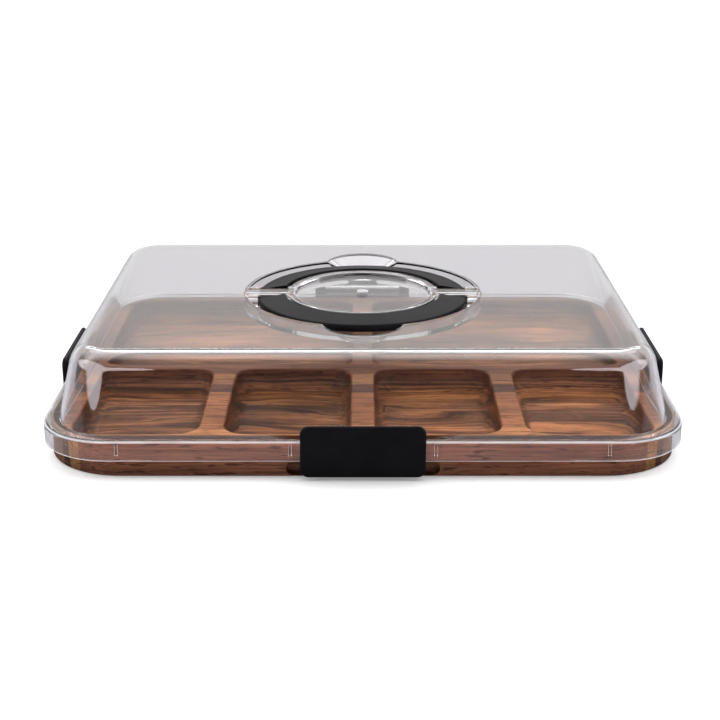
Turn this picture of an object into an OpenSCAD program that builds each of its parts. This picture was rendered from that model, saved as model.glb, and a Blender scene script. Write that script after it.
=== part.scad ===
// Chip and dip server: a routed acacia tray under a clear lid, with four snap latches
// and a carrying handle in two halves that folds flat into a round well in the lid.
// Millimetres. +Z is up, +X to the right, -Y to the front. The origin is the middle of the
// tray's underside. "Outward" on a latch means away from the middle of the tray.

/* [Lid] */
// Width of the lid over its skirt
lid_w = 400; // [340:1:480]
// Depth of the lid over its skirt
lid_d = 310; // [270:1:380]
// Height of the lid's top above the table
lid_h = 72.5; // [62:0.5:110]
// Corner radius of the skirt, in plan
lid_corner_r = 45; // [36:1:60]
// Thickness of the dome and of the top
lid_wall = 2.4; // [1.8:0.1:3.2]
// Thickness of the skirt
skirt_wall = 2.2; // [1.6:0.1:3]
// Length of skirt that hangs below the tray's top
skirt_drop = 10.8; // [8:0.1:11.4]
// Width of the shoulder between the skirt's face and the dome's foot
shoulder_w = 9.6; // [9.4:0.1:12]
// How far the dome leans in between its foot and its top
dome_lean = 11.4; // [6:0.1:14]
// Radius of the edge where the dome turns into the top
dome_round = 14; // [8:0.5:16]
// Gap between the skirt and the wood
skirt_gap = 0.8; // [0.5:0.1:1.5]

/* [Tray] */
// Thickness of the tray
tray_h = 22; // [20:0.5:28]
// Corner radius of the tray, in plan
tray_corner_r = 50; // [44:1:56]
// Thickness of wood left under the compartments
floor_h = 7; // [5:0.5:9]
// Width of the rim at the left and right
side_rim = 15.5; // [13:0.5:20]
// Width of the rim at the front and rear
end_rim = 14; // [13:0.5:20]
// Width of the ribs between the front compartments
column_rib = 12.5; // [10:0.5:18]
// Width of the rib between the front and rear compartments
row_rib = 10; // [9:0.5:18]
// Depth, front to rear, of the small front compartments
front_pocket_d = 120; // [90:1:140]
// Number of small compartments in the front row
front_pockets = 4; // [2:2:6]
// Corner radius of a compartment, in plan
pocket_corner_r = 16.5; // [14:0.5:24]
// Radius between a compartment's wall and its floor
pocket_fillet = 10; // [5:0.5:11]
// Rounding of the tray's top edges
top_round = 1.5; // [0.5:0.1:2]
// Rounding of the tray's lower edge
bottom_round = 1.5; // [1:0.5:4]

/* [Handle] */
// Inner radius of the handle ring
handle_r_in = 54; // [50:0.5:58]
// Outer radius of the handle ring
handle_r_out = 72.5; // [68:0.5:78]
// Thickness of the handle at its inner edge
handle_h = 7.5; // [6:0.1:8]
// How far the handle's top falls towards its outer edge
handle_fall = 2.7; // [1:0.1:3.5]
// How far the handle's inner edge stands above the lid's top
handle_proud = 0.7; // [0:0.1:1.5]
// Gap between the handle ring and the outer wall of its well
well_gap = 7; // [4:0.5:12]
// Depth of the handle's well below the lid's top
well_depth = 8.6; // [8.2:0.1:10]
// Gap between the handle ring and the round island inside it
island_gap = 2.5; // [2.3:0.1:4]
// Radius of the two finger notches at the lid's top
notch_r = 26; // [18:1:30]
// How far a finger notch narrows on its way down to the well's floor
notch_slope = 12; // [0:1:14]
// How far a finger notch reaches out beyond the well's wall
notch_reach = 18.5; // [12:0.5:24]
// Width of the bridges that part the two halves
bridge_w = 9.4; // [7:0.1:10]
// Distance of each handle pivot from the middle of the bridge
pivot_y = 10.5; // [10.3:0.1:12]
// Depth of each handle pivot below the lid's top
pivot_drop = 4.5; // [4.4:0.1:5]
// Diameter of the handle's pivot pins
handle_pin_d = 3; // [2:0.1:3.5]
// How far the round ends of a handle half lie below the lid's top
end_drop = 1.1; // [0.8:0.1:1.5]
// How far the pivot bosses in the well lie below the lid's top
boss_drop = 0.5; // [0.3:0.1:1]
// Width of the rim between the island's edge and the dish in it
dish_rim = 5.5; // [4:0.5:10]
// Depth of the dish
dish_depth = 2; // [1:0.5:3]
// Radius of the nub in the middle of the dish
nub_r = 3.9; // [2:0.1:6]

/* [Latches] */
// Width of a latch
latch_w = 75.6; // [74:0.2:90]
// Height of a latch's lower edge above the table
latch_z = 1.9; // [1:0.1:2.5]
// How far a latch stands above the lid's shoulder
latch_tab = 10.3; // [9:0.1:11.4]
// Thickness of a latch
latch_t = 2.8; // [2:0.1:3.5]
// Corner radius of a latch
latch_corner_r = 5; // [2:0.5:7]
// Gap between a latch and the skirt
latch_gap = 0.8; // [0.5:0.1:1.5]
// Diameter of a latch's hinge pin
latch_pin_d = 2.5; // [2:0.1:3]
// Distance from a latch's side edge to the knuckle on the lid
knuckle_inset = 8.4; // [6:0.1:12]
// Distance from a latch's side edge to the end of its nose
nose_inset = 7.8; // [6:0.1:12]
// How far the nose of a latch reaches under the wood
nose_bite = 1; // [0.6:0.1:1.2]
// Height of the slot that the nose goes into
slot_h = 9.4; // [8:0.1:9.6]
// Depth of the slot
slot_deep = 5; // [4:0.1:6]
// Length of slot beyond each side of a latch
slot_over = 8.9; // [4:0.1:10]

/* [Fits] */
// Radial clearance of a pin in the part that turns on it
running_fit = 0.06; // [0.02:0.01:0.09]
// Radial clearance of a pin in the part that holds it
held_fit = 0.02; // [0.01:0.01:0.04]
// End clearance between a fixed and a turning knuckle
side_gap = 0.3; // [0.2:0.1:0.6]

/* [Skirt ribs] */
// Distance from the middle of a side to its inner ribs
rib_in = 44; // [40:1:60]
// Distance from the end of a side to its outer ribs
rib_end = 51.4; // [48:0.2:70]
// Width of a rib
rib_w = 2; // [1:0.5:3]
// Gap between a rib and the wood
rib_gap = 0.2; // [0.2:0.1:0.4]

/* [Hidden] */
$fn = 96;
over = 1;                                    // how far a cut runs past a face

// The skirt goes round the wood
skirt_to_wood = skirt_wall + skirt_gap;
tray_w = lid_w - 2 * skirt_to_wood;
tray_d = lid_d - 2 * skirt_to_wood;
skirt_z = tray_h - skirt_drop;
shoulder_z = tray_h + lid_wall;
shoulder_round = 2.5;                        // rounding of the skirt's upper edge

// The dome's slope, and the centre of its rounded edge, in (distance from corner centre, height)
foot_r = lid_corner_r - shoulder_w;
slope = atan(dome_lean / (lid_h - shoulder_z));
dome_turn = dome_round * tan((90 - slope) / 2);
dome_c = [foot_r - dome_lean - dome_turn, lid_h - dome_round];

// Compartments
pocket_w = (tray_w - 2 * side_rim - (front_pockets - 1) * column_rib) / front_pockets;
rear_pocket_w = (tray_w - 2 * side_rim - column_rib) / 2;
rear_pocket_d = tray_d - 2 * end_rim - row_rib - front_pocket_d;
front_pocket_y = -tray_d / 2 + end_rim + front_pocket_d / 2;
rear_pocket_y = tray_d / 2 - end_rim - rear_pocket_d / 2;

// Handle well
well_r = handle_r_out + well_gap;
island_r = handle_r_in - island_gap;
well_z = lid_h - well_depth;
notch_y = well_r + notch_reach - notch_r;
dish_r = island_r - dish_rim;
pivot_z = lid_h - pivot_drop;
handle_pin_r = handle_pin_d / 2;
end_r = pivot_drop - end_drop;
boss_r = pivot_drop - boss_drop;
end_x = [sqrt(pow(handle_r_in, 2) - pow(pivot_y + boss_r, 2)),
         sqrt(pow(handle_r_out, 2) - pow(pivot_y, 2)) - 0.2];
inner_boss_x = [dish_r - 0.5, end_x[0] - side_gap];
outer_boss_x = [end_x[1] + side_gap, well_r + lid_wall / 2];
handle_pin_x = [inner_boss_x[0] + 1.5, outer_boss_x[1]];

// Latch hinge, in the latch's own place: x along the side, y outward from the skirt's face
latch_pin_r = latch_pin_d / 2;
knuckle_w = latch_w - 2 * knuckle_inset;
knuckle_r = latch_pin_r + 1.75;
hinge_y = -knuckle_r - 1;
hinge_z = shoulder_z + knuckle_r + 1.1;
ear_w = 4;
ear_x = knuckle_w / 2 + side_gap;
latch_top = shoulder_z + latch_tab;
nose_r = 1.5;
nose_w = latch_w - 2 * nose_inset;
slot_z = skirt_z - 1;                        // top of the slot
nose_z = slot_z - 0.9 - nose_r;
nose_y = -skirt_to_wood - nose_bite + nose_r;
slot_l = latch_w + 2 * slot_over;

// Locating ribs inside the skirt
rib_deep = skirt_gap - rib_gap;
rib_z = skirt_z + 3;
long_ribs = [rib_in, lid_w / 2 - rib_end];
short_ribs = [rib_in, lid_d / 2 - rib_end];

// Sides in order front, rear, left, right: turn about Z, and distance of the skirt's face
side_turn = [180, 0, 90, -90];
side_dist = [lid_d / 2, lid_d / 2, lid_w / 2, lid_w / 2];

// Sweeps a 2D profile, drawn as (distance from corner centre, height), round a rounded rectangle
module around(w, d, r) {
    for (sx = [0, 1], sy = [0, 1])
        mirror([sx, 0, 0]) mirror([0, sy, 0])
            translate([w / 2 - r, d / 2 - r, 0]) rotate_extrude(angle = 90) children();
    for (s = [0, 1]) {
        mirror([0, s, 0]) translate([r - w / 2, d / 2 - r, 0])
            rotate([90, 0, 90]) linear_extrude(w - 2 * r) children();
        mirror([s, 0, 0]) translate([w / 2 - r, d / 2 - r, 0])
            rotate([90, 0, 0]) linear_extrude(d - 2 * r) children();
    }
}

// Fills the middle of a swept solid, a little past the corner centres
module core(w, d, r, z0, z1) {
    lap = 2;
    translate([r - lap - w / 2, r - lap - d / 2, z0]) cube([w - 2 * (r - lap), d - 2 * (r - lap), z1 - z0]);
}

// Puts a piece at side i, with y = 0 on the skirt's face
module at_side(i) rotate([0, 0, side_turn[i]]) translate([0, side_dist[i], 0]) children();

// A cylinder along X between two places
module rod(x, y, z, r) translate([x[0], y, z]) rotate([0, 90, 0]) cylinder(h = x[1] - x[0], r = r);

// ---- Tray ----

module tray_profile() {
    difference() {
        square([tray_corner_r, tray_h]);
        edge_cut(tray_corner_r, 0, bottom_round, 1);
        edge_cut(tray_corner_r, tray_h, top_round, -1);
    }
}

// The sliver that rounding takes off a right-angled outer corner at (x, z); up is 1 or -1
module edge_cut(x, z, r, up) {
    difference() {
        translate([x - r, up > 0 ? z - over : z - r]) square([r + over, r + over]);
        translate([x - r, z + up * r]) circle(r);
    }
}

module pocket_profile() {
    wall = pocket_corner_r - top_round;
    difference() {
        union() {
            translate([0, floor_h + pocket_fillet]) square([wall, tray_h + over - floor_h - pocket_fillet]);
            translate([0, floor_h]) square([wall - pocket_fillet, tray_h - floor_h]);
            intersection() {
                translate([wall - pocket_fillet, floor_h + pocket_fillet]) circle(pocket_fillet);
                square([wall, tray_h]);
            }
            translate([0, tray_h - top_round]) square([pocket_corner_r, top_round + over]);
        }
        translate([pocket_corner_r, tray_h - top_round]) circle(top_round);
    }
}

module pocket(x, y, w, d) {
    translate([x, y, 0]) {
        around(w, d, pocket_corner_r) pocket_profile();
        core(w, d, pocket_corner_r, floor_h, tray_h + over);
    }
}

// A round-ended slot in the side of the tray for a latch's nose
module latch_slot() {
    r = slot_h / 2;
    y = -skirt_to_wood - slot_deep;
    deep = slot_deep + over;
    translate([r - slot_l / 2, y, slot_z - slot_h]) cube([slot_l - slot_h, deep, slot_h]);
    for (s = [-1, 1])
        translate([s * (slot_l / 2 - r), y, slot_z - r]) rotate([-90, 0, 0]) cylinder(h = deep, r = r);
}

module tray() {
    color("sienna") difference() {
        union() {
            around(tray_w, tray_d, tray_corner_r) tray_profile();
            core(tray_w, tray_d, tray_corner_r, 0, tray_h);
        }
        for (i = [0 : front_pockets - 1]) {
            x = (i - (front_pockets - 1) / 2) * (pocket_w + column_rib);
            pocket(x, front_pocket_y, pocket_w, front_pocket_d);
        }
        for (s = [-1, 1])
            pocket(s * (rear_pocket_w + column_rib) / 2, rear_pocket_y, rear_pocket_w, rear_pocket_d);
        for (i = [0 : 3]) at_side(i) latch_slot();
    }
}

// ---- Lid ----

// The dome's section, drawn o inside its outer face and down to height z0
module dome_profile(o, z0) {
    r = dome_round - o;
    wall = dome_c + r * [cos(slope), sin(slope)];
    foot = wall[0] + (wall[1] - z0) * tan(slope);
    polygon([[0, z0], [foot, z0], wall, dome_c, [dome_c[0], lid_h - o], [0, lid_h - o]]);
    intersection() {
        translate(dome_c) circle(r);
        square([foot, lid_h]);
    }
}

module lid_profile() {
    difference() {
        union() {
            dome_profile(0, tray_h);
            difference() {
                translate([0, skirt_z]) square([lid_corner_r, shoulder_z - skirt_z]);
                edge_cut(lid_corner_r, shoulder_z, shoulder_round, -1);
            }
        }
        dome_profile(lid_wall, tray_h - over);
        square([lid_corner_r - skirt_wall, tray_h]);
    }
}

// The handle well, o outside its walls, from height z0 to z1: a ring and two finger notches that
// narrow downwards, less the island and the bridges
module well_space(o, z0, z1) {
    grow = notch_slope / well_depth;
    top_r = notch_r + o * sqrt(1 + pow(grow, 2));
    difference() {
        union() {
            translate([0, 0, z0]) cylinder(h = z1 - z0, r = well_r + o);
            for (s = [-1, 1]) translate([0, s * notch_y, z0])
                cylinder(h = z1 - z0, r1 = top_r + (z0 - lid_h) * grow, r2 = top_r + (z1 - lid_h) * grow);
        }
        translate([0, 0, z0 - over]) cylinder(h = z1 - z0 + 2 * over, r = island_r - o);
        translate([-2 * well_r, o - bridge_w / 2, z0 - over])
            cube([4 * well_r, bridge_w - 2 * o, z1 - z0 + 2 * over]);
    }
}

// One side's hinge knuckle, standing on the shoulder
module lid_knuckle() {
    rod([-knuckle_w / 2, knuckle_w / 2], hinge_y, hinge_z, knuckle_r);
    translate([-knuckle_w / 2, hinge_y - knuckle_r, tray_h + lid_wall / 2])
        cube([knuckle_w, 2 * knuckle_r, hinge_z - tray_h - lid_wall / 2]);
}

module skirt_rib(x)
    translate([x - rib_w / 2, -skirt_wall - rib_deep, rib_z])
        cube([rib_w, rib_deep + skirt_wall / 2, tray_h + lid_wall / 2 - rib_z]);

module lid() {
    color("lightsteelblue", 0.35) difference() {
        union() {
            difference() {
                union() {
                    around(lid_w, lid_d, lid_corner_r) lid_profile();
                    core(lid_w, lid_d, lid_corner_r, lid_h - lid_wall, lid_h);
                    well_space(lid_wall, well_z - lid_wall, lid_h);
                    translate([0, 0, lid_h - dish_depth - lid_wall])
                        cylinder(h = dish_depth + lid_wall, r = dish_r + lid_wall);
                }
                well_space(0, well_z, lid_h + over);
                translate([0, 0, lid_h - dish_depth]) cylinder(h = dish_depth + over, r = dish_r);
            }
            translate([0, 0, lid_h - dish_depth - lid_wall / 2])
                cylinder(h = dish_depth + lid_wall / 2, r = nub_r);
            for (sx = [0, 1], sy = [-1, 1]) mirror([sx, 0, 0]) {
                rod(inner_boss_x, sy * pivot_y, pivot_z, boss_r);
                rod(outer_boss_x, sy * pivot_y, pivot_z, boss_r);
            }
            for (i = [0 : 3]) at_side(i) {
                lid_knuckle();
                for (x = i < 2 ? long_ribs : short_ribs, s = [-1, 1]) skirt_rib(s * x);
            }
        }
        for (sx = [0, 1], sy = [-1, 1]) mirror([sx, 0, 0])
            rod([handle_pin_x[0], well_r + lid_wall + over], sy * pivot_y, pivot_z, handle_pin_r + held_fit);
        for (i = [0 : 3]) at_side(i)
            rod([-ear_x, ear_x], hinge_y, hinge_z, latch_pin_r + held_fit);
    }
}

// ---- Handle ----

module handle_profile() {
    top = lid_h + handle_proud;
    low = top - handle_h;
    edge = 1.5;
    polygon([[handle_r_in + edge, low], [handle_r_out - edge, low], [handle_r_out, low + edge],
             [handle_r_out, top - handle_fall - edge], [handle_r_out - edge, top - handle_fall],
             [handle_r_in + edge, top], [handle_r_in, top - edge], [handle_r_in, low + edge]]);
}

// The rear half; the front half is the same piece turned round
module handle_half() {
    difference() {
        union() {
            intersection() {
                rotate_extrude(angle = 180) handle_profile();
                translate([-well_r, pivot_y, 0]) cube([2 * well_r, well_r, 2 * lid_h]);
            }
            for (s = [0, 1]) mirror([s, 0, 0]) rod(end_x, pivot_y, pivot_z, end_r);
        }
        for (s = [0, 1]) mirror([s, 0, 0])
            rod([end_x[0] - over, end_x[1] + over], pivot_y, pivot_z, handle_pin_r + running_fit);
    }
}

module front_handle() color("dimgray") rotate([0, 0, 180]) handle_half();
module rear_handle() color("dimgray") handle_half();

module handle_pin(sx, sy)
    color("silver") mirror([sx < 0 ? 1 : 0, 0, 0]) rod(handle_pin_x, sy * pivot_y, pivot_z, handle_pin_r);

// ---- Latches ----

module latch() {
    h = latch_top - latch_z;
    difference() {
        union() {
            translate([0, latch_gap + latch_t, latch_z + h / 2]) rotate([90, 0, 0]) linear_extrude(latch_t) {
                square([latch_w - 2 * latch_corner_r, h], center = true);
                square([latch_w, h - 2 * latch_corner_r], center = true);
                for (sx = [-1, 1], sz = [-1, 1])
                    translate([sx * (latch_w / 2 - latch_corner_r), sz * (h / 2 - latch_corner_r)])
                        circle(latch_corner_r);
            }
            for (s = [0, 1]) mirror([s, 0, 0]) {
                rod([ear_x, ear_x + ear_w], hinge_y, hinge_z, knuckle_r);
                translate([ear_x, hinge_y, hinge_z - knuckle_r])
                    cube([ear_w, latch_gap + latch_t / 2 - hinge_y, 2 * knuckle_r]);
            }
            rod([-nose_w / 2, nose_w / 2], nose_y, nose_z, nose_r);
            translate([-nose_w / 2, nose_y, nose_z - nose_r])
                cube([nose_w, latch_gap + latch_t / 2 - nose_y, 2 * nose_r]);
        }
        rod([-ear_x - ear_w - over, ear_x + ear_w + over], hinge_y, hinge_z, latch_pin_r + running_fit);
    }
}

module latch_at(i) color("black") at_side(i) latch();
module latch_pin_at(i)
    color("silver") at_side(i) rod([-ear_x - ear_w, ear_x + ear_w], hinge_y, hinge_z, latch_pin_r);

// ---- Nodes ----

tray();
lid();
front_handle();
rear_handle();
handle_pin(-1, -1);  // front_left_handle_pin
handle_pin(1, -1);  // front_right_handle_pin
handle_pin(-1, 1);  // rear_left_handle_pin
handle_pin(1, 1);  // rear_right_handle_pin
latch_at(0);  // front_latch
latch_at(1);  // rear_latch
latch_at(2);  // left_latch
latch_at(3);  // right_latch
latch_pin_at(0);  // front_latch_pin
latch_pin_at(1);  // rear_latch_pin
latch_pin_at(2);  // left_latch_pin
latch_pin_at(3);  // right_latch_pin
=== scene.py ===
import math
import bmesh
import bpy
from mathutils import Matrix, Vector


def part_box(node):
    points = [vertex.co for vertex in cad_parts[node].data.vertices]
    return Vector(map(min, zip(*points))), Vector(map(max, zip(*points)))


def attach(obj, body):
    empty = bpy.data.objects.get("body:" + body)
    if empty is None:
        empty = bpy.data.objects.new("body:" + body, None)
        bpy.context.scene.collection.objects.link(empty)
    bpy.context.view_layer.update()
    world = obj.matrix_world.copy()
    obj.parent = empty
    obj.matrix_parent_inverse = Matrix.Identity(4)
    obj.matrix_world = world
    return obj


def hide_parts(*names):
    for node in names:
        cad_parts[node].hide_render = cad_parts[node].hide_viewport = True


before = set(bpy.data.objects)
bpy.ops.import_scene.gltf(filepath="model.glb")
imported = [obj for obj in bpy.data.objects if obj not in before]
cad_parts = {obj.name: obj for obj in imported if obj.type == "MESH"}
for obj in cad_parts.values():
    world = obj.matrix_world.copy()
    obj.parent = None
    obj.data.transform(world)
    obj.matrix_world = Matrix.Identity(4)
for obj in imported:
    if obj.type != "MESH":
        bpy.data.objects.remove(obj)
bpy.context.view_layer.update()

# ---- The studio ----
# A white table in a pale room that is bright overhead and behind, and dark in front. A thin strip lamp
# hangs behind the server, and a wide soft lamp at each front corner shows only as a reflection. The
# camera stands a little under a metre away and looks down on the server's front.
camera = bpy.data.objects.new("camera", bpy.data.cameras.new("camera"))
camera.data.lens = 70.14
camera.data.sensor_width = 36
camera.location = (-0.0018, -0.9314, 0.3493)
camera.rotation_euler = (math.radians(90 - 19.39), 0, 0)
bpy.context.scene.collection.objects.link(camera)
bpy.context.scene.camera = camera
bpy.context.scene.view_settings.view_transform = "Standard"


def nodes_of(owner):
    """The node tree of a material or world, emptied but for its output."""
    owner.use_nodes = True
    tree = owner.node_tree
    for n in list(tree.nodes):
        tree.nodes.remove(n)
    kind = "ShaderNodeOutputWorld" if isinstance(owner, bpy.types.World) else "ShaderNodeOutputMaterial"
    return tree, tree.nodes.new(kind)


def add(tree, kind, links=(), **values):
    """A node of that kind: values set its sockets or properties, links join sockets to its inputs."""
    n = tree.nodes.new("ShaderNode" + kind)
    for name, value in values.items():
        if hasattr(n, name):
            setattr(n, name, value)
        else:
            n.inputs[name.replace("_", " ")].default_value = value
    for name, source in dict(links).items():
        tree.links.new(source, n.inputs[name])
    return n


def ramp(tree, source, stops, kind="LINEAR"):
    """A colour ramp over source: each stop is (position, grey or (r, g, b))."""
    n = add(tree, "ValToRGB", {"Fac": source})
    n.color_ramp.interpolation = kind
    spare = n.color_ramp.elements
    while len(spare) < len(stops):
        spare.new(1.0)
    for element, (place, tone) in zip(spare, stops):
        element.position = place
        element.color = (*tone, 1) if isinstance(tone, tuple) else (tone, tone, tone, 1)
    return n.outputs["Color"]


def maths(tree, operation, a, b=0.5, clamp=False):
    """A Math node; a and b are sockets or numbers."""
    n = add(tree, "Math", operation=operation, use_clamp=clamp)
    for k, value in enumerate((a, b)):
        if isinstance(value, bpy.types.NodeSocket):
            tree.links.new(value, n.inputs[k])
        else:
            n.inputs[k].default_value = value
    return n.outputs[0]


def times(tree, a, b, share=1.0):
    """Two colours multiplied."""
    n = add(tree, "MixRGB", blend_type="MULTIPLY")
    for name, value in (("Color1", a), ("Color2", b), ("Fac", share)):
        if isinstance(value, bpy.types.NodeSocket):
            tree.links.new(value, n.inputs[name])
        else:
            n.inputs[name].default_value = value
    return n.outputs[0]


room = bpy.data.worlds.new("room")
bpy.context.scene.world = room
tree, out = nodes_of(room)
heading = add(tree, "SeparateXYZ", {"Vector": add(tree, "TexCoord").outputs["Generated"]}).outputs
walls = ramp(tree, heading["Z"], [(0.0, 0.27), (0.5, 0.27), (0.72, 0.95), (1.0, 1.0)])
front = ramp(tree, maths(tree, "MULTIPLY", heading["Y"], -1.0), [(0.0, 0.0), (0.34, 0.94)])
room_light = times(tree, walls, maths(tree, "SUBTRACT", 1.0, front))
sky = add(tree, "Background", {"Color": room_light}, Strength=3.0)
tree.links.new(sky.outputs[0], out.inputs["Surface"])


def softbox(name, place, aim, width, depth, power, shape="RECTANGLE"):
    lamp = bpy.data.objects.new(name, bpy.data.lights.new(name, "AREA"))
    lamp.data.shape = shape
    lamp.data.size = width
    lamp.data.size_y = depth
    lamp.data.energy = power
    lamp.location = place
    lamp.rotation_euler = (Vector(aim) - Vector(place)).to_track_quat("-Z", "Y").to_euler()
    bpy.context.scene.collection.objects.link(lamp)
    return lamp


softbox("lamp_rear", (0, 1.25, 0.80), (0, 0, 0), 1.7, 0.10, 3)
for s in (-1, 1):
    sheen = softbox("lamp_side", (s * 0.99, -0.70, 0.50), (s * 0.15, -0.13, 0.05), 2.2, 0.90, 20, "ELLIPSE")
    sheen.visible_diffuse = False
    sheen.data.color = (0.97, 0.94, 1.0)

bm = bmesh.new()
bmesh.ops.create_grid(bm, x_segments=1, y_segments=1, size=8)
floor = bpy.data.objects.new("floor", bpy.data.meshes.new("floor"))
bm.to_mesh(floor.data)
bm.free()
bpy.context.scene.collection.objects.link(floor)
white = bpy.data.materials.new("table_white")
tree, out = nodes_of(white)
cloudy = add(tree, "TexNoise", Scale=3.0, Detail=2.0)
pale = ramp(tree, cloudy.outputs["Fac"], [(0.3, 0.90), (0.7, 0.92)])
mirrored = add(tree, "LightPath").outputs["Is Glossy Ray"]
pale = times(tree, pale, (0.42, 0.41, 0.44, 1), mirrored)
paint = add(tree, "BsdfPrincipled", {"Base Color": pale, "Emission Color": pale}, Roughness=1.0,
            Specular_IOR_Level=0.0, Emission_Strength=0.28)
tree.links.new(paint.outputs[0], out.inputs["Surface"])
floor.data.materials.append(white)

# ---- Tray ----
# One board of acacia strips glued edge to edge, planed, rounded at its corners and routed with six
# compartments, each with a soft lip above and a wide fillet below. A slot in each side takes a latch.
MM = 0.001
tray_low, tray_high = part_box("tray")
TRAY_CORNER = 50 * MM
LOWER_EDGE = 1.5 * MM
POCKET_CORNER = 15 * MM
POCKET_FILLET = 10 * MM
LIP = 1.5 * MM
POCKET_FLOOR = 7 * MM
SIDE_RIM, END_RIM = 15.5 * MM, 14 * MM
COLUMN_RIB, ROW_RIB = 12.5 * MM, 10 * MM
FRONT_POCKET_DEPTH = 120 * MM
SLOT_DEEP, SLOT_TALL, SLOT_LONG, SLOT_Z = 5 * MM, 9.4 * MM, 93.4 * MM, 5.5 * MM


def quarter(start, end, steps):
    """Angles from start to end degrees, in radians, both ends included."""
    return [math.radians(start + (end - start) * k / steps) for k in range(steps + 1)]


def stack(width, depth, corner, levels, segments=14):
    """A closed solid of rounded-rectangle rings: each level is (outset, height)."""
    bm = bmesh.new()
    bmesh.ops.create_grid(bm, x_segments=1, y_segments=1, size=0.5)
    bmesh.ops.scale(bm, vec=(width, depth, 1), verts=bm.verts)
    bmesh.ops.bevel(bm, geom=bm.verts[:], offset=corner, offset_type="OFFSET", affect="VERTICES",
                    segments=segments, profile=0.5, material=-1)
    bmesh.ops.remove_doubles(bm, verts=bm.verts, dist=1e-7)
    ends = Vector((width / 2 - corner, depth / 2 - corner))

    def place(verts, outset, height):
        for v in verts:
            c = Vector((math.copysign(ends.x, v.co.x), math.copysign(ends.y, v.co.y)))
            out = (v.co.xy - c).normalized() * (corner + outset)
            v.co = (c.x + out.x, c.y + out.y, height)

    bm.faces.ensure_lookup_table()
    cap = bm.faces[0]
    ring = list(cap.edges)
    place(cap.verts, *levels[0])
    for outset, height in levels[1:]:
        grown = bmesh.ops.extrude_edge_only(bm, edges=ring)["geom"]
        ring = [e for e in grown if isinstance(e, bmesh.types.BMEdge)]
        place([v for v in grown if isinstance(v, bmesh.types.BMVert)], outset, height)
    bmesh.ops.edgeloop_fill(bm, edges=ring)
    bmesh.ops.recalc_face_normals(bm, faces=bm.faces)
    return bm


def made(name, bm, place=Matrix()):
    """Turns a finished bmesh into an object whose place is in its mesh."""
    bmesh.ops.transform(bm, verts=bm.verts, matrix=place)
    bmesh.ops.recalc_face_normals(bm, faces=bm.faces)
    piece = bpy.data.objects.new(name, bpy.data.meshes.new(name))
    bm.to_mesh(piece.data)
    bm.free()
    bpy.context.scene.collection.objects.link(piece)
    return piece


def carve(piece, tools, how="DIFFERENCE"):
    """Cuts the tools out of the piece, or joins them to it, and throws the tools away.

    Points left in the middle of straight edges are taken out, and a result that isn't closed is an error."""
    for tool in tools:
        m = piece.modifiers.new("carve", "BOOLEAN")
        m.object = tool
        m.operation = how
        m.solver = "EXACT"
    seen = piece.evaluated_get(bpy.context.evaluated_depsgraph_get())
    mesh = bpy.data.meshes.new_from_object(seen)
    piece.modifiers.clear()
    piece.data = mesh
    mesh.name = piece.name
    bm = bmesh.new()
    bm.from_mesh(mesh)
    spare = []
    for v in bm.verts:
        if len(v.link_edges) == 2:
            a, b = [e.other_vert(v).co - v.co for e in v.link_edges]
            if a.angle(-b, 0.0) < 0.02:
                spare.append(v)
    bmesh.ops.dissolve_verts(bm, verts=spare)
    gaps = sum(len(e.link_faces) != 2 for e in bm.edges)
    bm.to_mesh(mesh)
    bm.free()
    if gaps:
        raise RuntimeError(f"{piece.name} has {gaps} edges that don't join two faces")
    for tool in tools:
        bpy.data.objects.remove(tool)
    return piece


def smooth(piece, angle=35):
    """Smooth shading with creases kept sharp, weighted so that flats stay flat."""
    piece.data.shade_smooth()
    piece.data.set_sharp_from_angle(angle=math.radians(angle))
    m = piece.modifiers.new("flats", "WEIGHTED_NORMAL")
    m.keep_sharp = True
    return piece


def side_frame(i, size):
    """Places things at side i (front, rear, left, right) of a box, with local +Y outward."""
    turn = (math.pi, 0, math.pi / 2, -math.pi / 2)[i]
    return Matrix.Rotation(turn, 4, "Z") @ Matrix.Translation((0, (size.y if i < 2 else size.x) / 2, 0))


size = tray_high - tray_low
thick = size.z
side = [(-LOWER_EDGE * (1 - math.sin(a)), LOWER_EDGE * (1 - math.cos(a))) for a in quarter(0, 90, 4)]
top = [(-LIP * (1 - math.cos(a)), thick - LIP * (1 - math.sin(a))) for a in quarter(0, 90, 4)]
tray = made("tray_board", stack(size.x, size.y, TRAY_CORNER, side + top, 24))


def pocket(x, y, width, depth):
    corner = POCKET_CORNER
    low = [(-POCKET_FILLET * (1 - math.sin(a)), POCKET_FLOOR + POCKET_FILLET * (1 - math.cos(a)))
           for a in quarter(0, 90, 8)]
    lip = [(LIP * (1 - math.cos(a)), thick - LIP * (1 - math.sin(a))) for a in quarter(0, 90, 4)]
    over = [(LIP, thick + 5 * MM)]
    bm = stack(width - 2 * LIP, depth - 2 * LIP, corner, low + lip + over, 12)
    return made("pocket", bm, Matrix.Translation((x, y, 0)))


def slot(frame_of_side):
    bm = bmesh.new()
    bmesh.ops.create_cube(bm, size=1)
    bmesh.ops.scale(bm, vec=(SLOT_LONG, 2 * SLOT_DEEP, SLOT_TALL), verts=bm.verts)
    ends = [e for e in bm.edges if abs(e.verts[0].co.y - e.verts[1].co.y) > SLOT_DEEP]
    bmesh.ops.bevel(bm, geom=ends, offset=SLOT_TALL / 2 - 0.01 * MM, offset_type="OFFSET",
                    affect="EDGES", segments=10, profile=0.5, material=-1)
    return made("slot", bm, frame_of_side @ Matrix.Translation((0, 0, SLOT_Z)))


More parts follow.
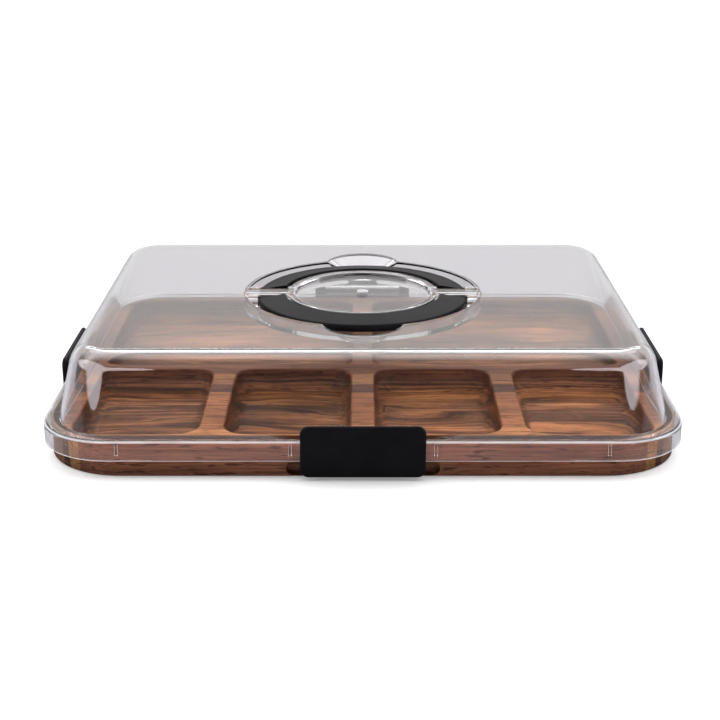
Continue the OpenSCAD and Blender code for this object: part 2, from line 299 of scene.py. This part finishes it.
inner = size.x - 2 * SIDE_RIM
small = (inner - 3 * COLUMN_RIB) / 4
large = (inner - COLUMN_RIB) / 2
rear_depth = size.y - 2 * END_RIM - ROW_RIB - FRONT_POCKET_DEPTH
front_y = -size.y / 2 + END_RIM + FRONT_POCKET_DEPTH / 2
rear_y = size.y / 2 - END_RIM - rear_depth / 2
cuts = [pocket((i - 1.5) * (small + COLUMN_RIB), front_y, small, FRONT_POCKET_DEPTH) for i in range(4)]
cuts += [pocket(s * (large + COLUMN_RIB) / 2, rear_y, large, rear_depth) for s in (-1, 1)]
cuts += [slot(side_frame(i, size)) for i in range(4)]
carve(tray, cuts)
smooth(tray)
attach(tray, "tray")
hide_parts("tray")

# Acacia: each strip has its own tone. The year rings lie nearly flat, so they show as long streaks on
# the flats and as contour lines round the compartments, and the cut end grain drinks in more oil.
STRIPS = [(6.5, (152, 90, 62)), (23.5, (186, 126, 78)), (56, (154, 98, 60)), (15, (96, 56, 36)),
          (21, (156, 106, 68)), (27, (120, 76, 52)), (25, (142, 92, 62)), (28, (104, 66, 44)),
          (34, (134, 88, 58)), (26, (152, 100, 64)), (42, (110, 70, 46))]


def linear(rgb):
    """A 0 to 255 screen colour as the shader's own numbers."""
    return tuple(((c / 255 + 0.055) / 1.055) ** 2.4 for c in rgb)


def streaks(tree, source, scale, detail=4.0, rough=0.6):
    """Noise drawn out along X: scale is (along, across, down) in waves a metre."""
    drawn = add(tree, "Mapping", {"Vector": source}, Scale=scale).outputs[0]
    return add(tree, "TexNoise", {"Vector": drawn}, Scale=1.0, Detail=detail,
               Roughness=rough).outputs["Fac"]


wood = bpy.data.materials.new("acacia")
tree, out = nodes_of(wood)
where = add(tree, "TexCoord").outputs["Object"]
x, y, z = add(tree, "SeparateXYZ", {"Vector": where}).outputs
board = (tray_high - tray_low).y
across = maths(tree, "DIVIDE", maths(tree, "SUBTRACT", y, tray_low.y), board)
edges, at = [], 0.0
for width, shade in STRIPS:
    edges.append((at * MM / board, linear(shade)))
    at += width
base = ramp(tree, across, edges, "CONSTANT")
strip = ramp(tree, across, [(p, (k * 0.37) % 1.0) for k, (p, _) in enumerate(edges)], "CONSTANT")
wander = streaks(tree, where, (6, 26, 20), 2.0)
rings = maths(tree, "ADD", z, maths(tree, "MULTIPLY", y, 0.24))
rings = maths(tree, "ADD", rings, maths(tree, "MULTIPLY", wander, 0.016))
rings = maths(tree, "MULTIPLY", maths(tree, "ADD", rings, strip), 620.0)
ring_place = add(tree, "CombineXYZ", {"X": maths(tree, "MULTIPLY", x, 5.0), "Z": rings}).outputs[0]
bands = add(tree, "TexNoise", {"Vector": ring_place}, Scale=1.0, Detail=4.0, Roughness=0.66).outputs["Fac"]
veins = streaks(tree, where, (9, 380, 380), 5.0, 0.72)
fibre = streaks(tree, where, (34, 1100, 1100), 3.0)
pores = streaks(tree, where, (90, 700, 700), 1.0)
blotch = streaks(tree, where, (9, 30, 60), 3.0)
# sunk is 1 below the board's top, routed is 1 inside a compartment, rim_side is 1 on the outer sides
sunk = maths(tree, "DIVIDE", maths(tree, "SUBTRACT", tray_high.z - 0.0012, z), 0.009, True)
inside = maths(tree, "GREATER_THAN", tray_high.y - 0.012, maths(tree, "ABSOLUTE", y))
side_in = maths(tree, "GREATER_THAN", tray_high.x - 0.013, maths(tree, "ABSOLUTE", x))
routed = maths(tree, "MULTIPLY", sunk, maths(tree, "MULTIPLY", inside, side_in))
one_brown = add(tree, "MixRGB", {"Fac": maths(tree, "MULTIPLY", routed, 0.7), "Color1": base},
                Color2=(*linear((146, 98, 62)), 1))
year = ramp(tree, bands, [(0.32, (0.34, 0.29, 0.26)), (0.42, (0.70, 0.66, 0.62)),
                          (0.52, (0.98, 0.98, 0.98)), (0.68, (1.22, 1.24, 1.24))])
tone = times(tree, one_brown.outputs[0], year, 0.75)
rim_side = maths(tree, "MULTIPLY", sunk, maths(tree, "SUBTRACT", 1.0, routed))
tone = times(tree, tone, ramp(tree, veins, [(0.36, (0.40, 0.34, 0.30)), (0.44, (0.86, 0.84, 0.82)),
                                            (0.62, (1.18, 1.20, 1.18))]),
             maths(tree, "SUBTRACT", 0.8, maths(tree, "MULTIPLY", rim_side, 0.55)))
tone = times(tree, tone, ramp(tree, fibre, [(0.34, 0.66), (0.62, 1.12)]))
tone = times(tree, tone, ramp(tree, pores, [(0.32, (0.36, 0.30, 0.27)), (0.38, (1.0, 1.0, 1.0))]))
tone = times(tree, tone, ramp(tree, blotch, [(0.3, (0.72, 0.68, 0.66)), (0.6, (1.06, 1.06, 1.04))]))
# The routed hollows reach darker heartwood, with its rings more marked, and painted shade darkens them
# further
heart_and_shade = ramp(tree, bands, [(0.36, (0.24, 0.19, 0.16)), (0.46, (0.52, 0.46, 0.40)),
                           (0.58, (1.06, 0.98, 0.88))])
heart_and_shade = times(tree, heart_and_shade, ramp(tree, blotch, [(0.35, 0.62), (0.65, 1.1)]))
tone = times(tree, tone, heart_and_shade, routed)
rib = maths(tree, "MULTIPLY", maths(tree, "MULTIPLY", inside, side_in), maths(tree, "SUBTRACT", 1.0, sunk))
tone = times(tree, tone, (0.80, 0.75, 0.70, 1), rib)
# Painted shade: the board darkens towards its left and right ends
ends = ramp(tree, maths(tree, "DIVIDE", maths(tree, "ABSOLUTE", x), tray_high.x),
            [(0.72, 1.0), (0.92, (0.84, 0.83, 0.82)), (0.94, (0.58, 0.55, 0.53))])
tone = times(tree, tone, ends)
# Painted shade: the board's outer side faces are darkened
tone = times(tree, tone, (0.70, 0.80, 0.84, 1), rim_side)
facing = add(tree, "SeparateXYZ", {"Vector": add(tree, "NewGeometry").outputs["Normal"]})
cut_end = maths(tree, "POWER", maths(tree, "ABSOLUTE", facing.outputs["X"]), 1.5)
# Painted shade: the steep walls of the compartments are darkened
steep = maths(tree, "SUBTRACT", 1.0, maths(tree, "ABSOLUTE", facing.outputs["Z"]))
tone = times(tree, tone, (0.50, 0.44, 0.42, 1), maths(tree, "MULTIPLY", steep, routed))
speckle = ramp(tree, streaks(tree, where, (420, 520, 520), 3.0),
               [(0.35, (0.42, 0.35, 0.31)), (0.65, (0.80, 0.72, 0.66))])
tone = times(tree, tone, speckle, cut_end)
gloss = ramp(tree, fibre, [(0.3, 0.60), (0.7, 0.44)])
height = maths(tree, "ADD", fibre, maths(tree, "MULTIPLY", pores, 0.6))
relief = add(tree, "Bump", {"Height": height}, Strength=0.25, Distance=0.0004)
paint = add(tree, "BsdfPrincipled",
            {"Base Color": tone, "Roughness": gloss, "Normal": relief.outputs[0]}, Specular_IOR_Level=0.12)
tree.links.new(paint.outputs[0], out.inputs["Surface"])
tray.data.materials.clear()
tray.data.materials.append(wood)

# ---- Lid ----
# A clear moulded dome with a skirt that drops over the board. A round well in its top holds the handle,
# with a finger notch at the front and the rear, and bridges that carry the handle's pivots.
lid_low, lid_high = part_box("lid")
WALL = 2.4 * MM
SKIRT_WALL = 2.2 * MM
LID_CORNER = 45 * MM
SHOULDER = 9.6 * MM
SHOULDER_ROUND = 2.5 * MM
LEAN = 11.4 * MM
DOME_ROUND = 14 * MM
size = lid_high - lid_low
top_z = lid_high.z
shoulder_z = thick + WALL
slope = math.atan2(LEAN, top_z - shoulder_z)
turn_in = DOME_ROUND * math.tan((math.pi / 2 - slope) / 2)
round_x = -SHOULDER - LEAN - turn_in


def dome(o, foot_z):
    """Levels from the foot to the top of a dome drawn o inside the outer one."""
    r = DOME_ROUND - o
    edge = [(round_x + r * math.cos(a), top_z - DOME_ROUND + r * math.sin(a))
            for a in [slope + (math.pi / 2 - slope) * k / 8 for k in range(9)]]
    x, z = edge[0]
    return [(x + (z - foot_z) * math.tan(slope), foot_z)] + edge


def quartered(bm):
    """Splits the wide flats along two lines, so that cutting the well leaves no face with a hole in it."""
    for point, across in (((0.37 * MM, 0, 0), (1, 0, 0)), ((0, 0.41 * MM, 0), (0, 1, 0))):
        bmesh.ops.bisect_plane(bm, geom=bm.verts[:] + bm.edges[:] + bm.faces[:],
                               plane_co=point, plane_no=across)
    return bm


skirt = [(0, lid_low.z)]
skirt += [(-SHOULDER_ROUND * (1 - math.cos(a)), shoulder_z - SHOULDER_ROUND * (1 - math.sin(a)))
          for a in quarter(0, 90, 5)]
lid = made("lid_shell", quartered(stack(size.x, size.y, LID_CORNER, skirt + dome(0, shoulder_z), 24)))
under = [(-SKIRT_WALL, lid_low.z - 1 * MM), (-SKIRT_WALL, thick)] + dome(WALL, thick)
hollow = made("hollow", quartered(stack(size.x, size.y, LID_CORNER, under, 24)))

WELL = 79.5 * MM
NOTCH, NOTCH_Y, NOTCH_SLOPE = 26 * MM, 72 * MM, 12 / 8.6
ISLAND = 51.5 * MM
BRIDGE = 9.4 * MM
WELL_DEPTH = 8.6 * MM
DISH, DISH_DEPTH = 46 * MM, 2 * MM
NUB, NUB_ROUND = 3.9 * MM, 0.6 * MM
PIVOT_Y, PIVOT_Z = 10.5 * MM, top_z - 4.5 * MM


def lathe(levels, y=0.0, segments=160):
    """A solid turned about a vertical axis: levels are (radius, height), from the lowest up."""
    bm = bmesh.new()
    rim = [bm.verts.new((r, 0, z)) for r, z in [(0, levels[0][1]), *levels, (0, levels[-1][1])]]
    line = [bm.edges.new(pair) for pair in zip(rim, rim[1:])]
    bmesh.ops.spin(bm, geom=rim + line, cent=(0, 0, 0), axis=(0, 0, 1), angle=math.tau, steps=segments,
                   use_merge=True)
    bmesh.ops.remove_doubles(bm, verts=bm.verts, dist=1e-7)
    return made("turned", bm, Matrix.Translation((0, y, 0)))


def rounding(rim, steps=4):
    """(inset, height) pairs up a rounded edge that ends at the lid's top."""
    turns = quarter(0, 90, steps) if rim else [0.0]
    return [(rim * (1 - math.cos(a)), top_z - rim * (1 - math.sin(a))) for a in turns]


def well(o, low, rim):
    """The well drawn o outside its walls: a ring and two notches, less the island and the bridges.

    The notches' floor, rim and upper end are a hair off the ring's, so that no faces coincide."""
    ring = [(WELL + o, low)] + [(WELL + o + g, z) for g, z in rounding(rim)]
    ring = lathe(ring + [(WELL + o + rim, top_z + 2 * MM)])
    top_r = NOTCH + o * math.sqrt(1 + NOTCH_SLOPE ** 2)
    low_in = low + 0.03 * MM
    cone = [(top_r - (top_z - low_in) * NOTCH_SLOPE, low_in)]
    cone += [(top_r + g, z) for g, z in rounding(0.83 * rim, 5)] + [(top_r + 0.83 * rim, top_z + 2.4 * MM)]
    carve(ring, [lathe(cone, s * NOTCH_Y, 74) for s in (-1, 1)], "UNION")
    side = [(BRIDGE / 2 - o - g, z) for g, z in rounding(rim, 3)]
    side = [(BRIDGE / 2 - o, low - 1.3 * MM)] + side + [(side[-1][0], top_z + 3.1 * MM)]
    bar = bmesh.new()
    prism(bar, Matrix(), side + [(-y, z) for y, z in reversed(side)], -2 * WELL, 2 * WELL)
    island = [(ISLAND - o - g, z) for g, z in rounding(rim)]
    island = [(ISLAND - o, low - MM)] + island + [(island[-1][0], top_z + 2.7 * MM)]
    return carve(ring, [lathe(island), made("bar", bar)])


def prism(bm, place, outline, start, end):
    """Adds a bar along local X with that (y, z) outline."""
    face = bm.faces.new([bm.verts.new(place @ Vector((start, y, z))) for y, z in outline])
    grown = bmesh.ops.extrude_face_region(bm, geom=[face])["geom"]
    ends = [v for v in grown if isinstance(v, bmesh.types.BMVert)]
    bmesh.ops.translate(bm, verts=ends, vec=place.to_3x3() @ Vector((end - start, 0, 0)))


def arc(y, z, radius, start, end, steps):
    """Points (y, z) round part of a circle."""
    return [(y + radius * math.cos(a), z + radius * math.sin(a)) for a in quarter(start, end, steps)]


floor_z = top_z - WELL_DEPTH
dish = [(DISH + WALL, top_z - DISH_DEPTH - WALL), (DISH + WALL, top_z + MM)]
carve(hollow, [well(WALL, floor_z - WALL, 0), lathe(dish)])
carve(lid, [hollow])
dish = [(DISH + g, z) for g, z in rounding(DISH_DEPTH, 6)] + [(DISH + DISH_DEPTH, top_z + 1.5 * MM)]
carve(lid, [well(0, floor_z, 0.8 * MM), lathe(dish)])

# Moulded on the lid: hinge knuckles on the shoulder, ribs inside the skirt, pivot bosses and a nub
KNUCKLE, KNUCKLE_HALF = 3 * MM, 29.4 * MM
HINGE_Y, HINGE_Z = -4 * MM, 28.5 * MM
BOSS, INNER_BOSS, OUTER_BOSS = 4 * MM, (45.5 * MM, 51.7 * MM), (71.8 * MM, 80.7 * MM)
RIB, RIB_PROUD, RIB_FOOT, RIB_IN, RIB_END = 1 * MM, 0.6 * MM, 14.2 * MM, 44 * MM, 51.4 * MM
knuckles, ribs, bosses = bmesh.new(), bmesh.new(), bmesh.new()
for i in range(4):
    place = side_frame(i, size)
    foot = shoulder_z - WALL / 2
    outline = arc(HINGE_Y, HINGE_Z, KNUCKLE, 0, 180, 14)
    outline = [(HINGE_Y + KNUCKLE, foot)] + outline + [(HINGE_Y - KNUCKLE, foot)]
    prism(knuckles, place, outline, -KNUCKLE_HALF, KNUCKLE_HALF)
    for x in (RIB_IN, (size.x if i < 2 else size.y) / 2 - RIB_END):
        for s in (-1, 1):
            outline = [(-SKIRT_WALL - RIB_PROUD * math.sin(a), RIB * math.cos(a)) for a in quarter(0, 180, 8)]
            outline = [(-SKIRT_WALL / 2, RIB)] + outline + [(-SKIRT_WALL / 2, -RIB)]
            upright = Matrix.Translation((s * x, 0, 0)) @ Matrix.Rotation(-math.pi / 2, 4, "Y")
            prism(ribs, place @ upright, outline, RIB_FOOT, foot)
for s in (-1, 1):
    for y in (-PIVOT_Y, PIVOT_Y):
        for start, end in (INNER_BOSS, OUTER_BOSS):
            prism(bosses, Matrix(), arc(y, PIVOT_Z, BOSS, 0, 345, 23), s * start, s * end)
nub = [(NUB, top_z - DISH_DEPTH - WALL / 2)] + [(NUB - g, z) for g, z in rounding(NUB_ROUND)]
carve(lid, [made("knuckles", knuckles), made("ribs", ribs), made("bosses", bosses),
            lathe(nub, segments=40)], "UNION")
smooth(lid)
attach(lid, "lid")
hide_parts("lid")


def blend(tree, share, a, b):
    """A Mix Shader node that shows a, and b by its share."""
    n = add(tree, "MixShader", {"Fac": share})
    tree.links.new(a.outputs[0], n.inputs[1])
    tree.links.new(b.outputs[0], n.inputs[2])
    return n


clear = bpy.data.materials.new("clear_plastic")
tree, out = nodes_of(clear)
where = add(tree, "TexCoord").outputs["Object"]
haze = add(tree, "TexNoise", {"Vector": where}, Scale=38.0, Detail=5.0, Roughness=0.6).outputs["Fac"]
flow = add(tree, "TexNoise", {"Vector": where}, Scale=14.0, Detail=1.0).outputs["Fac"]
ripple = add(tree, "Bump", {"Height": flow}, Strength=0.06, Distance=0.001)
tint = ramp(tree, flow, [(0.3, (0.975, 0.975, 0.985)), (0.7, (0.99, 0.985, 0.985))])
dull = ramp(tree, haze, [(0.35, 0.012), (0.7, 0.035)])
glass = add(tree, "BsdfPrincipled", {"Base Color": tint, "Roughness": dull, "Normal": ripple.outputs[0]},
            IOR=1.49, Transmission_Weight=1.0)
through = add(tree, "BsdfTransparent", Color=(0.95, 0.95, 0.96, 1))
both = blend(tree, add(tree, "LightPath").outputs["Is Shadow Ray"], glass, through)
# Painted highlights: a pale matt white, in patches, marks the shoulder's edge, the foot of the skirt and
# the rims of the well as bright lines, and makes the nub look lit
x, y, z = add(tree, "SeparateXYZ", {"Vector": where}).outputs


def past(along, half):
    """How far along is beyond the straight part of a side, or 0."""
    reach = maths(tree, "SUBTRACT", maths(tree, "ABSOLUTE", along), half - LID_CORNER)
    return maths(tree, "MAXIMUM", reach, 0.0)


def length(a, b):
    """The length of the vector (a, b)."""
    return maths(tree, "SQRT", maths(tree, "ADD", maths(tree, "POWER", a, 2.0), maths(tree, "POWER", b, 2.0)))


from_corner = length(past(x, size.x / 2), past(y, size.y / 2))
outer = maths(tree, "GREATER_THAN", from_corner, LID_CORNER - 1.9 * MM)
up = maths(tree, "DIVIDE", maths(tree, "SUBTRACT", z, lid_low.z), shoulder_z - lid_low.z)
# Painted highlight lines at the foot of the skirt and along the shoulder's rounded edge
edge = ramp(tree, up, [(0.0, 0.35), (0.03, 0.0), (0.86, 0.0), (0.90, 0.85), (0.95, 0.85), (0.975, 0.0)])
mottle = add(tree, "TexNoise", {"Vector": where}, Scale=60.0, Detail=3.0).outputs["Fac"]
patchy = ramp(tree, mottle, [(0.3, 0.75), (0.6, 1.0)])
from_middle = length(x, y)
near_top = maths(tree, "DIVIDE", maths(tree, "SUBTRACT", z, top_z - 1.0 * MM), MM)
well_rim_highlight = maths(tree, "MULTIPLY", ramp(tree, near_top, [(0.1, 0.0), (0.3, 0.5), (0.93, 0.5), (0.98, 0.0)]),
             maths(tree, "LESS_THAN", from_middle, NOTCH_Y + 36 * MM))
nub_highlight = maths(tree, "MULTIPLY", maths(tree, "LESS_THAN", from_middle, NUB + 0.1 * MM),
             maths(tree, "GREATER_THAN", z, top_z - DISH_DEPTH - 0.1 * MM))
rim_and_nub_highlight = maths(tree, "ADD", well_rim_highlight, maths(tree, "MULTIPLY", nub_highlight, 0.5))
painted_highlight = maths(tree, "ADD", maths(tree, "MULTIPLY", edge, outer), rim_and_nub_highlight, True)
painted_highlight = maths(tree, "MULTIPLY", painted_highlight, patchy)
# The pale matt white of the painted highlights
highlight_white = add(tree, "BsdfDiffuse", Color=(0.86, 0.85, 0.90, 1))
tree.links.new(blend(tree, painted_highlight, both, highlight_white).outputs[0], out.inputs["Surface"])
lid.data.materials.clear()
lid.data.materials.append(clear)

# ---- Handles ----
# Two matt black halves of one moulded ring. Its top falls gently outwards, its edges are rounded, and
# each end is a round barrel that turns on a steel pin.
RING_IN, RING_OUT = 54 * MM, 72.5 * MM
RING_HIGH, RING_FALL, RING_PROUD, RING_ROUND = 7.5 * MM, 2.7 * MM, 0.7 * MM, 1.6 * MM
BARREL, BARREL_IN, BARREL_OUT = 3.4 * MM, 52 * MM, 71.5 * MM

black = bpy.data.materials.new("black_plastic")
tree, out = nodes_of(black)
where = add(tree, "TexCoord").outputs["Object"]
grain = add(tree, "TexNoise", {"Vector": where}, Scale=2400.0, Detail=2.0, Roughness=0.5).outputs["Fac"]
cloud = add(tree, "TexNoise", {"Vector": where}, Scale=45.0, Detail=3.0).outputs["Fac"]
scuff = streaks(tree, where, (160, 900, 160), 2.0)
tone = ramp(tree, cloud, [(0.35, (0.0054, 0.0049, 0.0064)), (0.65, (0.0074, 0.0067, 0.0087))])
rub = ramp(tree, scuff, [(0.66, 0.0), (0.80, 0.5)])
mixed = add(tree, "MixRGB", {"Fac": rub, "Color1": tone}, Color2=(0.013, 0.012, 0.015, 1))
gloss = maths(tree, "ADD", maths(tree, "MULTIPLY", cloud, 0.16), 0.30)
pebble = add(tree, "Bump", {"Height": grain}, Strength=0.10, Distance=0.0001)
paint = add(tree, "BsdfPrincipled",
            {"Base Color": mixed.outputs[0], "Roughness": gloss, "Normal": pebble.outputs[0]},
            Specular_IOR_Level=0.045)
tree.links.new(paint.outputs[0], out.inputs["Surface"])


def soften(corners, cut, steps):
    """The closed outline with each corner swapped for a curve that starts cut away from it."""
    points = []
    for k, p in enumerate(corners):
        p = Vector(p)
        a = p + (Vector(corners[k - 1]) - p).normalized() * cut
        b = p + (Vector(corners[(k + 1) % len(corners)]) - p).normalized() * cut
        for t in [n / steps for n in range(steps + 1)]:
            points.append((1 - t) ** 2 * a + 2 * t * (1 - t) * p + t ** 2 * b)
    return points


def handle_half(name, turn):
    high = top_z + RING_PROUD
    low = high - RING_HIGH
    corners = [(RING_IN, low), (RING_OUT, low), (RING_OUT, high - RING_FALL), (RING_IN, high)]
    outline = soften(corners, RING_ROUND, 4)
    bm = bmesh.new()
    face = bm.faces.new([bm.verts.new((r, 0, z)) for r, z in outline])
    bmesh.ops.spin(bm, geom=[face, *face.edges, *face.verts], cent=(0, 0, 0), axis=(0, 0, 1),
                   angle=math.pi, steps=72)
    cut = bmesh.ops.bisect_plane(bm, geom=bm.verts[:] + bm.edges[:] + bm.faces[:],
                                 plane_co=(0, PIVOT_Y, 0), plane_no=(0, -1, 0), clear_outer=True)["geom_cut"]
    bmesh.ops.edgeloop_fill(bm, edges=[e for e in cut if isinstance(e, bmesh.types.BMEdge)])
    half = made(name, bm, Matrix.Rotation(turn, 4, "Z"))
    barrels = bmesh.new()
    for s in (-1, 1):
        outline = arc(PIVOT_Y, PIVOT_Z, BARREL, 0, 348, 29)
        prism(barrels, Matrix.Rotation(turn, 4, "Z"), outline, s * BARREL_IN, s * BARREL_OUT)
    carve(half, [made("barrels", barrels)], "UNION")
    smooth(half)
    half.data.materials.clear()
    half.data.materials.append(black)
    return half


for name, turn in (("front_handle", math.pi), ("rear_handle", 0.0)):
    half = handle_half(name + "_half", turn)
    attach(half, name)
    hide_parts(name)

# ---- Latches ----
# A black moulded plate with pillowed edges on each side. Two ears behind it turn on the lid's hinge and
# a long rounded nose snaps into the slot in the wood.
LATCH_W, LATCH_LOW, LATCH_HIGH = 75.6 * MM, 1.9 * MM, 34.7 * MM
LATCH_GAP, LATCH_T, LATCH_CORNER = 0.8 * MM, 2.8 * MM, 5 * MM
BACK_ROUND, FACE_ROUND = 0.5 * MM, 1.4 * MM
EAR_IN, EAR_OUT, NOSE_HALF = 29.7 * MM, 33.7 * MM, 30 * MM
NOSE, NOSE_Y, NOSE_Z = 1.5 * MM, -2.5 * MM, 7.8 * MM
for i, name in enumerate(("front_latch", "rear_latch", "left_latch", "right_latch")):
    place = side_frame(i, size)
    back = [(-BACK_ROUND * (1 - math.sin(a)), BACK_ROUND * (1 - math.cos(a))) for a in quarter(0, 90, 3)]
    face = [(-FACE_ROUND * (1 - math.cos(a)), LATCH_T - FACE_ROUND * (1 - math.sin(a)))
            for a in quarter(0, 90, 7)]
    stand = Matrix.Translation((0, LATCH_GAP, (LATCH_LOW + LATCH_HIGH) / 2))
    stand = stand @ Matrix.Rotation(-math.pi / 2, 4, "X")
    slab = stack(LATCH_W, LATCH_HIGH - LATCH_LOW, LATCH_CORNER, back + face, 10)
    plate = made(name + "_plate", slab, place @ stand)
    ears, nose = bmesh.new(), bmesh.new()
    into = LATCH_GAP + LATCH_T / 2
    for s in (-1, 1):
        outline = arc(HINGE_Y, HINGE_Z, KNUCKLE, 90, 270, 14)
        outline = [(into, HINGE_Z + KNUCKLE)] + outline + [(into, HINGE_Z - KNUCKLE)]
        prism(ears, place, outline, s * EAR_IN, s * EAR_OUT)
    outline = arc(NOSE_Y, NOSE_Z, NOSE, 90, 270, 10)
    outline = [(into, NOSE_Z + NOSE)] + outline + [(into, NOSE_Z - NOSE)]
    prism(nose, place, outline, -NOSE_HALF, NOSE_HALF)
    carve(plate, [made("ears", ears), made("nose", nose)], "UNION")
    smooth(plate)
    plate.data.materials.clear()
    plate.data.materials.append(black)
    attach(plate, name)
    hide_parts(name)

# ---- Pins ----
# Short lengths of drawn steel wire, pressed into the lid. The handle's halves and the latches turn on
# them. The wire is faintly brushed and stained.
steel = bpy.data.materials.new("steel_wire")
tree, out = nodes_of(steel)
where = add(tree, "TexCoord").outputs["Object"]
drawn = add(tree, "TexNoise", {"Vector": where}, Scale=900.0, Detail=4.0, Roughness=0.7).outputs["Fac"]
stain = add(tree, "TexNoise", {"Vector": where}, Scale=120.0, Detail=2.0).outputs["Fac"]
brushed = add(tree, "Bump", {"Height": drawn}, Strength=0.15, Distance=0.0001)
tone = ramp(tree, stain, [(0.3, (0.50, 0.49, 0.48)), (0.7, (0.66, 0.66, 0.67))])
gloss = ramp(tree, drawn, [(0.3, 0.24), (0.7, 0.42)])
paint = add(tree, "BsdfPrincipled", {"Base Color": tone, "Roughness": gloss, "Normal": brushed.outputs[0]},
            Metallic=1.0)
tree.links.new(paint.outputs[0], out.inputs["Surface"])
for name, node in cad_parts.items():
    if name.endswith("_pin"):
        for socket in node.material_slots:
            socket.material = steel
